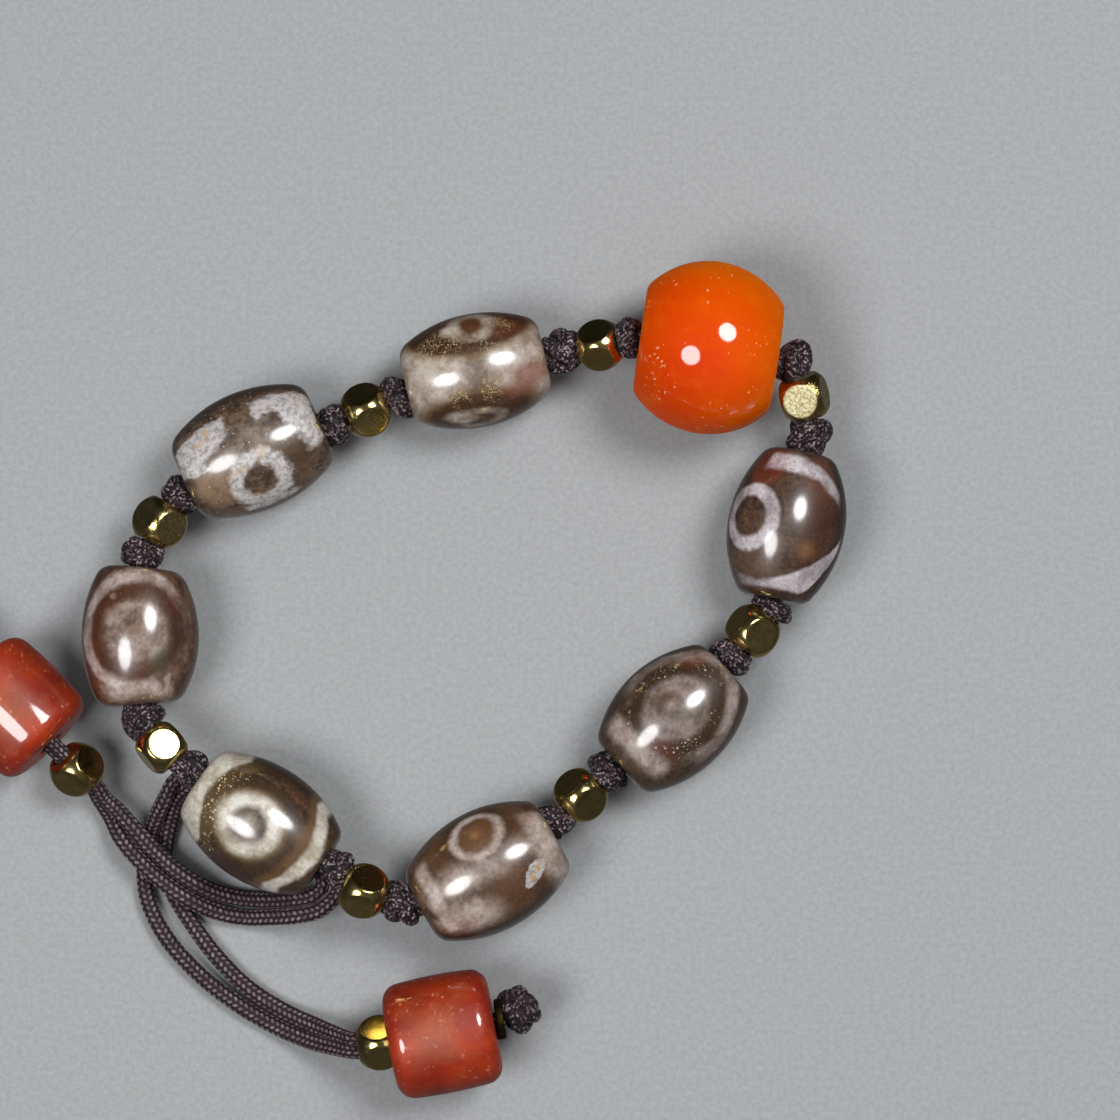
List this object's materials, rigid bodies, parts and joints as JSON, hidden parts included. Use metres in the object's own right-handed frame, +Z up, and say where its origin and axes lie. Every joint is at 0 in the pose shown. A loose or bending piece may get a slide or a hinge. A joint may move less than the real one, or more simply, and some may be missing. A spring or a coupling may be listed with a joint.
{
  "type": "bead bracelet",
  "caption": "Adjustable bracelet of etched brown barrel beads and a large orange bead on knotted cord, with gold spacers, a slider bead, and red beads on the loose cord ends.",
  "frame": {"origin": "on the table, under the middle of the ring of beads, with the loose ends left out", "axes": "+Z up from the table that the bracelet lies on; +X to the right and +Y away from the viewer, who looks down at it with the loose ends at the lower left"},
  "size_m": [0.0986, 0.0897, 0.0188],
  "materials": {
    "etched_stone": "polished, brown with pale etched rings and bands",
    "orange_stone": "polished, translucent orange",
    "red_stone": "polished, brick red with a pale bloom",
    "gold_metal": "polished",
    "dark_gold_metal": "dull",
    "braided_cord": "round braid, near black with a lilac sheen"
  },
  "bodies": {
    "root": {"orange_bead": "orange_stone", "dzi_bead_1": "etched_stone", "dzi_bead_2": "etched_stone", "dzi_bead_3": "etched_stone", "slider_bead": "etched_stone", "dzi_bead_4": "etched_stone", "dzi_bead_5": "etched_stone", "dzi_bead_6": "etched_stone", "gold_bead_1": "gold_metal", "gold_bead_2": "gold_metal", "gold_bead_3": "gold_metal", "gold_bead_4": "gold_metal", "gold_bead_5": "gold_metal", "gold_bead_6": "gold_metal", "gold_bead_7": "gold_metal", "gold_bead_8": "gold_metal", "knot_1": "braided_cord", "knot_2": "braided_cord", "knot_3": "braided_cord", "knot_4": "braided_cord", "knot_5": "braided_cord", "knot_6": "braided_cord", "knot_7": "braided_cord", "knot_8": "braided_cord", "knot_9": "braided_cord", "knot_10": "braided_cord", "knot_11": "braided_cord", "knot_12": "braided_cord", "knot_13": "braided_cord", "knot_14": "braided_cord", "knot_15": "braided_cord", "knot_16": "braided_cord", "loop_cord": "braided_cord", "left_strand_a": "braided_cord", "left_strand_b": "braided_cord", "right_strand_a": "braided_cord", "right_strand_b": "braided_cord", "left_gold_bead": "gold_metal", "left_red_bead": "red_stone", "left_spacer": "dark_gold_metal", "left_end_knot": "braided_cord", "right_gold_bead": "gold_metal", "right_red_bead": "red_stone", "right_spacer": "dark_gold_metal", "right_end_knot": "braided_cord"}
  },
  "joints": []
}
